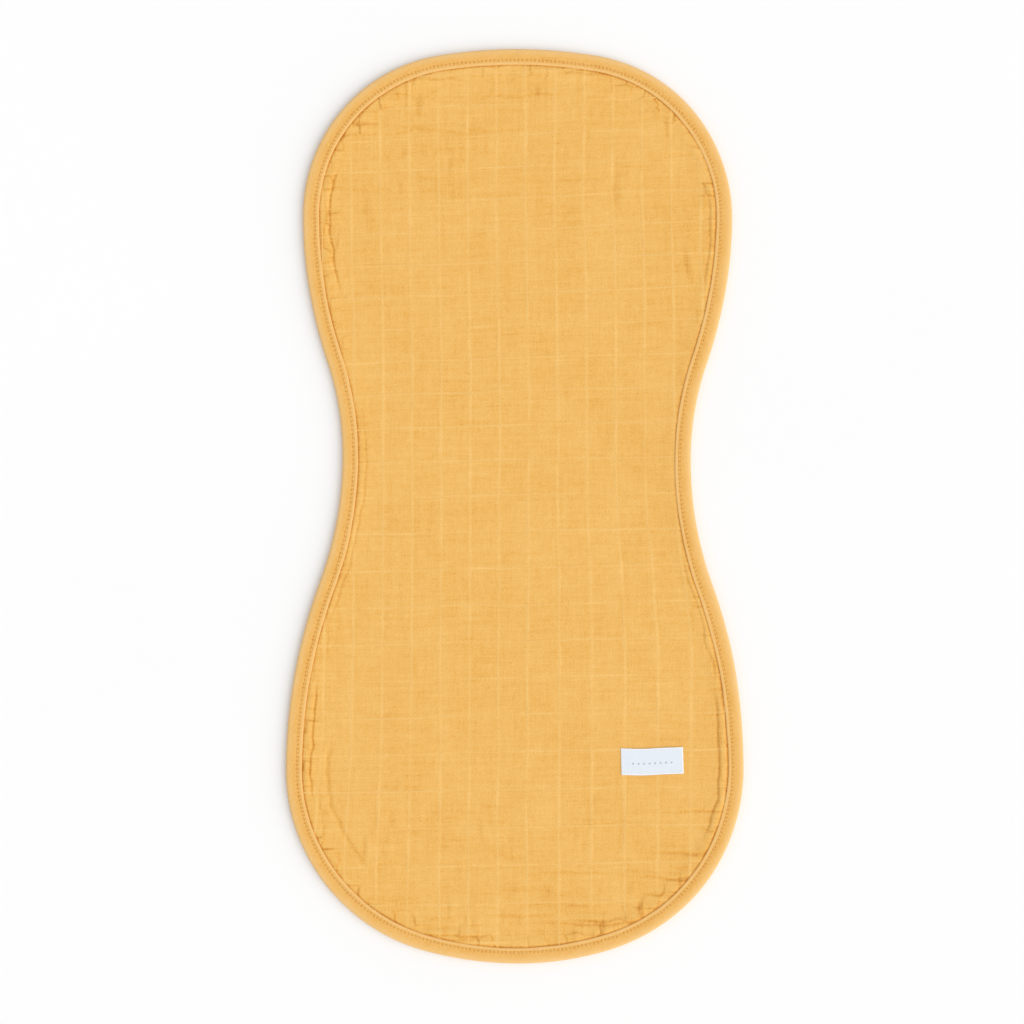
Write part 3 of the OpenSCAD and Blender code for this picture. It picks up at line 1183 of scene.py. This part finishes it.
def bias_tape(name):
    """The binding's tape: the same cotton, woven closer and cut on the bias. Its tone has a painted
    highlight along the lip, painted sheen along the outer rim and painted shade in the needle
    holes.
    """
    n = Nodes(name)
    s, t, _ = n.split(n.attribute("tape").outputs["Vector"])
    pale = n.attribute("pale").outputs["Fac"]
    hole = n.attribute("hole").outputs["Fac"]
    a = n.times(n.sum(s, t), math.sqrt(0.5))
    b = n.times(n.math("SUBTRACT", s, t), math.sqrt(0.5))
    weave = n.weave(a, b, TAPE_YARN_PITCH)
    slub_a = n.noise(a, b, 0.7, 9)
    slub_b = n.noise(a, b, 9, 0.7)
    grain = n.noise(a, b, 0.5, 0.5)
    fleck = n.noise(s, t, 1.1, 1.1)
    cloud = n.noise(s, t, 16, 5, detail=3)
    tone = n.sum(
        0.40,
        (slub_a, 0.34),
        (slub_b, 0.24),
        (grain, 0.55),
        (fleck, 0.50),
        (cloud, 0.34),
        (weave, 0.04),
        # Painted highlight along the lip and painted sheen along the outer rim.
        (pale, 0.42),
        # Painted shade in the needle holes.
        (hole, -0.66),
    )
    colour = n.ramp(tone, [(0.0, TAPE_DEEP), (0.25, OCHRE_SHADE), (0.5, TAPE), (1.0, TAPE_PALE)])
    height = n.sum(fleck, slub_a, slub_b, (weave, 0.45), (grain, 0.9))
    roughness = n.sum(0.84, (grain, 0.12))
    return n.finish(colour, roughness, height, 0.07, sheen=0.30, sheen_tint=(1.0, 0.92, 0.8))


def twisted_thread(name, colour, deep, twist_mm, gloss=0.1):
    """Plied thread: two strands that wind round each other."""
    n = Nodes(name)
    along, around, _ = n.split(n.attribute("thread").outputs["Vector"])
    turns = n.sum(n.times(along, 1 / twist_mm), (around, 2.0))
    strand = n.math("SINE", n.times(turns, 2 * math.pi))
    fuzz = n.noise(along, around, 0.6, 0.3)
    tone = n.sum(0.6, (strand, 0.22), (fuzz, 0.4))
    shade = n.ramp(tone, [(0.0, deep), (1.0, colour)])
    roughness = n.sum(0.62, (fuzz, 0.2))
    return n.finish(shade, roughness, strand, 0.03, sheen=gloss, sheen_tint=(1.0, 0.95, 0.85))


def label_weave(name):
    """White woven label with a plain row of small pale dots in place of any mark."""
    n = Nodes(name)
    run, across, a = n.split(n.attribute("ribbon").outputs["Vector"])
    ribs = n.math("SINE", n.times(run, 2 * math.pi / 0.34))
    wefts = n.math("SINE", n.times(across, 2 * math.pi / 0.22))
    grain = n.noise(run, across, 1.2, 0.3)
    end_gap = n.math("SUBTRACT", LABEL_L / 2, n.math("ABSOLUTE", a))
    side_gap = n.math("SUBTRACT", LABEL_W / 2, n.math("ABSOLUTE", across))
    rim = n.ease(n.math("MINIMUM", end_gap, side_gap), 1.2, 0.7)
    dot_pitch, dot_r, row_half, row_drop = 3.0, 0.55, 12.6, 0.9
    column = n.math("PINGPONG", n.sum(run, dot_pitch / 2), dot_pitch / 2)
    square = n.sum(n.math("POWER", column, 2.0), n.math("POWER", n.sum(across, row_drop), 2.0))
    dot = n.ease(n.math("SQRT", square), dot_r + 0.15, dot_r - 0.1)
    dot = n.times(dot, n.ease(n.math("ABSOLUTE", run), row_half + 0.2, row_half))
    tone = n.sum(0.62, (ribs, 0.05), (wefts, 0.05), (grain, 0.16), (rim, 0.30), (dot, -0.50))
    colour = n.ramp(tone, [(0.0, LABEL_DEEP), (0.5, LABEL_WHITE), (1.0, LABEL_PALE)])
    height = n.sum(ribs, wefts, (dot, 0.8))
    roughness = n.sum(0.55, (grain, 0.15))
    return n.finish(colour, roughness, height, 0.02, sheen=0.1, sheen_tint=(1.0, 1.0, 1.0))


def floor_material():
    """Matt white card with the faintest clouding."""
    n = Nodes("studio_floor")
    x, y, _ = n.split(n.make("TexCoord").outputs["Object"])
    cloud = n.noise(x, y, 0.3, 0.3)
    colour = n.ramp(n.sum(0.5, cloud), [(0.0, (0.90, 0.90, 0.90)), (1.0, (0.92, 0.92, 0.92))])
    return n.finish(colour, 0.9, cloud, 0.01, sheen=0.0, sheen_tint=(1.0, 1.0, 1.0))


# ---------------- stage

CAMERA_X = -2.3
CAMERA_Y = -3.15
CAMERA_LENS = 100.0
CAMERA_SENSOR = 36.0
VIEW_W = 559.6
CAMERA_TURN = 0.005

FLOOR_HALF_M = 40.0

WORLD_COLOUR = (0.985, 0.998, 1.015, 1)
WORLD_STRENGTH = 0.735
KEY_COLOUR = (1.03, 1.005, 0.97)
KEY_STRENGTH = 1.76
KEY_SPREAD = math.radians(70)
KEY_ELEVATION = math.radians(39)
KEY_AZIMUTH = math.radians(-26)


def make_camera():
    """Straight above the cloth, as far away as gives the framing at the cloth's own height."""
    data = bpy.data.cameras.new("camera")
    data.lens = CAMERA_LENS
    data.sensor_width = CAMERA_SENSOR
    camera = put_in_scene("camera", data)
    height = top_of("face_outer_ply") + VIEW_W * CAMERA_LENS / CAMERA_SENSOR
    camera.location = Vector((CAMERA_X, CAMERA_Y, height)) * MM
    camera.rotation_euler = (0, 0, CAMERA_TURN)
    bpy.context.scene.camera = camera


def make_floor():
    """A plain floor that reaches far past every view."""
    mesh = bpy.data.meshes.new("floor")
    signs = [(-1, -1), (1, -1), (1, 1), (-1, 1)]
    corners = [(x * FLOOR_HALF_M, y * FLOOR_HALF_M, 0) for x, y in signs]
    mesh.from_pydata(corners, [], [(0, 1, 2, 3)])
    mesh.materials.append(floor_material())
    put_in_scene("floor", mesh)


def make_light():
    """Soft white surroundings and a broad key light from the right."""
    world = bpy.data.worlds.new("studio")
    world.use_nodes = True
    background = world.node_tree.nodes["Background"]
    background.inputs["Color"].default_value = WORLD_COLOUR
    background.inputs["Strength"].default_value = WORLD_STRENGTH
    bpy.context.scene.world = world
    data = bpy.data.lights.new("key", "SUN")
    data.energy = KEY_STRENGTH
    data.color = KEY_COLOUR
    data.angle = KEY_SPREAD
    key = put_in_scene("key", data)
    key.rotation_euler = (math.pi / 2 - KEY_ELEVATION, 0, math.pi / 2 + KEY_AZIMUTH)


def set_colours():
    """Colours as they are, with no filmic curve."""
    bpy.context.scene.view_settings.view_transform = "Standard"
    bpy.context.scene.view_settings.look = "None"


# ---------------- the burp cloth


def make_plies():
    """The six plies, from the face down."""
    outer = gauze("outer_gauze")
    core = gauze("core_gauze", 0.5)
    face_surfaces = (face_height, face_inside)
    back_surfaces = (back_inside, back_height)
    face = outer_ply("face_gauze", FACE, face_surfaces, "face_outer_ply", outer)
    back = outer_ply("back_gauze", BACK, back_surfaces, "back_outer_ply", outer)
    return [
        face,
        inner_ply("face_lining", "face_inner_ply", 1.0, outer),
        inner_ply("core_upper_gauze", "core_upper_ply", 0.8, core),
        inner_ply("core_lower_gauze", "core_lower_ply", 0.5, core),
        inner_ply("back_lining", "back_inner_ply", 0.25, outer),
        back,
    ]


def middle_layer(node, share):
    """The surface through the middle of a CAD node in the stack."""
    return partial(stack_level, level=(top_of(node) + bottom_of(node)) / 2, share=share)


def make_ties():
    """The tie yarns of the three double cloths."""
    yarn = twisted_thread("tie_yarn", YARN, YARN_DEEP, twist_mm=0.9, gloss=0.0)
    core_warp = middle_layer("core_tie_warp", 0.65)
    core_weft = middle_layer("core_tie_weft", 0.6)
    ties = {}
    for cloth, side, warp_place, weft_place, step, rise in (
        ("face", FACE, face_height, face_height, TIE_STEP, TIE_RISE),
        ("core", BACK, core_warp, core_weft, CORE_TIE_STEP, 0),
        ("back", BACK, back_height, back_height, TIE_STEP, -TIE_RISE),
    ):
        ties[cloth] = [
            tie_yarns(cloth, "warp", side, warp_place, step, rise, yarn),
            tie_yarns(cloth, "weft", side, weft_place, step, rise, yarn),
        ]
    return ties


def declare_plies():
    """Works out points round the plies' cut edge; nothing is done with them."""
    x, y = edge_point(np.linspace(0, ROUND, 6001), PLY_INSET)


def make_label():
    """The label, a strip with its ends turned under, and the threads that sew it to that ply."""
    tape = label(label_weave("label_tape"))
    thread = twisted_thread("label_thread", WHITE_THREAD, WHITE_THREAD_DEEP, twist_mm=0.6)
    lift = label_fold_path()[:, 1].max() + LABEL_T / 2 + LABEL_THREAD_LIFT
    drop = PLY_T + LABEL_BOBBIN_DROP
    seam = [
        label_stitches("label_seam", "label_needle_thread", lift, LABEL_THREAD_DIP, thread),
        label_stitches("label_seam_back", "label_bobbin_thread", -drop, 0, thread),
    ]


set_colours()
make_camera()
make_floor()
make_light()

plies = make_plies()
ties = make_ties()
tape = edge_binding(bias_tape("binding_cotton"))
cotton = twisted_thread("sewing_thread", THREAD, THREAD_DEEP, twist_mm=0.7)
sewn = [tape, needle_thread(cotton), bobbin_thread(cotton)]
declare_plies()
make_label()
